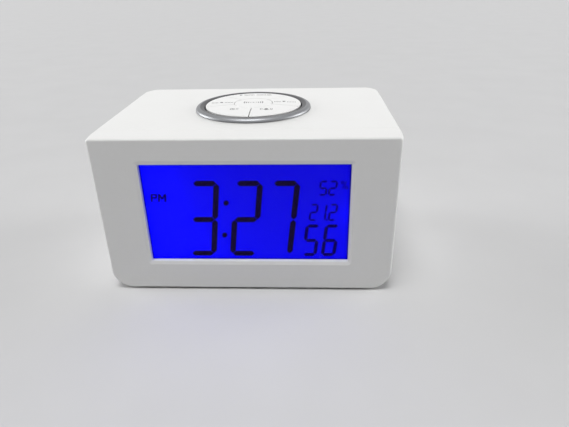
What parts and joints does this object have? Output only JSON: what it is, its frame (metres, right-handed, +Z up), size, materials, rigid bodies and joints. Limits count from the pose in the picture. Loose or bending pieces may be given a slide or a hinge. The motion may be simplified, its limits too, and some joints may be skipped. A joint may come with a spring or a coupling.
{
  "type": "talking alarm clock",
  "caption": "White plastic desk clock with a backlit display window in a bevelled front, a round pad of speech keys in a chrome ring on top, a rear speaker and a sliding battery door.",
  "frame": {"origin": "the table under the middle of the case: the centre of the part's box, at its lowest plane", "axes": "+X to the right seen from the front, +Y from the display to the back, +Z up"},
  "size_m": [0.135, 0.097, 0.0778],
  "materials": {
    "case_plastic": "fine moulded satin, white",
    "key_plastic": "smooth satin, white, printed marks",
    "ring_chrome": "satin chrome plating",
    "window_acrylic": "clear polished",
    "display_glass": "backlit blue liquid crystal",
    "light_guide_acrylic": "clear moulded",
    "reflector_plastic": "white film",
    "inner_plastic": "natural moulded",
    "circuit_board": "green solder mask",
    "black_epoxy": "moulded epoxy",
    "can_aluminium": "drawn can",
    "screw_steel": "nickel plated",
    "contact_steel": "nickel plated spring sheet",
    "basket_steel": "pressed and plated",
    "cone_paper": "black pressed paper",
    "magnet_ferrite": "ground ferrite",
    "gasket_rubber": "closed-cell foam",
    "zebra_rubber": "layered conductive rubber",
    "mat_silicone": "matt silicone",
    "foot_rubber": "matt",
    "cable_jacket": "soft jacket",
    "cell_jacket": "shrink sleeve, plain"
  },
  "bodies": {
    "case": {"front_bezel": "case_plastic", "rear_case": "case_plastic", "window_lens": "window_acrylic", "lens_gasket": "gasket_rubber", "lcd_glass": "display_glass", "light_guide": "light_guide_acrylic", "reflector_sheet": "reflector_plastic", "backlight_led_bar": "circuit_board", "lcd_holder": "inner_plastic", "zebra_strip": "zebra_rubber", "main_board": "circuit_board", "controller_blob": "black_epoxy", "speech_chip": "black_epoxy", "capacitor": "can_aluminium", "ribbon_socket": "inner_plastic", "board_screw_low_left": "screw_steel", "board_screw_low_right": "screw_steel", "board_screw_high_left": "screw_steel", "board_screw_high_right": "screw_steel", "dial_ring": "ring_chrome", "key_guide": "inner_plastic", "key_mat": "mat_silicone", "key_board": "circuit_board", "key_board_screw_1": "screw_steel", "key_board_screw_2": "screw_steel", "key_board_screw_3": "screw_steel", "ribbon_cable": "cable_jacket", "speaker_basket": "basket_steel", "speaker_cone": "cone_paper", "speaker_magnet": "magnet_ferrite", "speaker_cable": "cable_jacket", "sensor_board": "circuit_board", "climate_sensor": "inner_plastic", "sensor_cable": "cable_jacket", "battery_tray": "inner_plastic", "cell_1": "cell_jacket", "cell_2": "cell_jacket", "cell_3": "cell_jacket", "contact_left_link": "contact_steel", "contact_left_end": "contact_steel", "contact_right_end": "contact_steel", "contact_right_link": "contact_steel", "battery_cable": "cable_jacket", "foot_front_left": "foot_rubber", "foot_front_right": "foot_rubber", "foot_rear_left": "foot_rubber", "foot_rear_right": "foot_rubber", "case_screw_low_left": "screw_steel", "case_screw_low_right": "screw_steel", "case_screw_high_left": "screw_steel", "case_screw_high_right": "screw_steel"},
    "key_centre": {"key_centre": "key_plastic"},
    "key_rear": {"key_rear": "key_plastic"},
    "key_left": {"key_left": "key_plastic"},
    "key_right": {"key_right": "key_plastic"},
    "key_front_left": {"key_front_left": "key_plastic"},
    "key_front_right": {"key_front_right": "key_plastic"},
    "battery_door": {"battery_door": "case_plastic"}
  },
  "joints": [
    {"name": "press_centre", "type": "slide", "parent": "case", "child": "key_centre", "axis": [0, 0, -1], "range_m": [0, 0.0008], "stiffness_N_per_m": 900, "deforming": ["key_mat"]},
    {"name": "press_rear", "type": "slide", "parent": "case", "child": "key_rear", "axis": [0, 0, -1], "range_m": [0, 0.0008], "stiffness_N_per_m": 900, "deforming": ["key_mat"]},
    {"name": "press_left", "type": "slide", "parent": "case", "child": "key_left", "axis": [0, 0, -1], "range_m": [0, 0.0008], "stiffness_N_per_m": 900, "deforming": ["key_mat"]},
    {"name": "press_right", "type": "slide", "parent": "case", "child": "key_right", "axis": [0, 0, -1], "range_m": [0, 0.0008], "stiffness_N_per_m": 900, "deforming": ["key_mat"]},
    {"name": "press_front_left", "type": "slide", "parent": "case", "child": "key_front_left", "axis": [0, 0, -1], "range_m": [0, 0.0008], "stiffness_N_per_m": 900, "deforming": ["key_mat"]},
    {"name": "press_front_right", "type": "slide", "parent": "case", "child": "key_front_right", "axis": [0, 0, -1], "range_m": [0, 0.0008], "stiffness_N_per_m": 900, "deforming": ["key_mat"]},
    {"name": "door_slide", "type": "slide", "parent": "case", "child": "battery_door", "axis": [0, 1, 0], "range_m": [0, 0.04]}
  ]
}
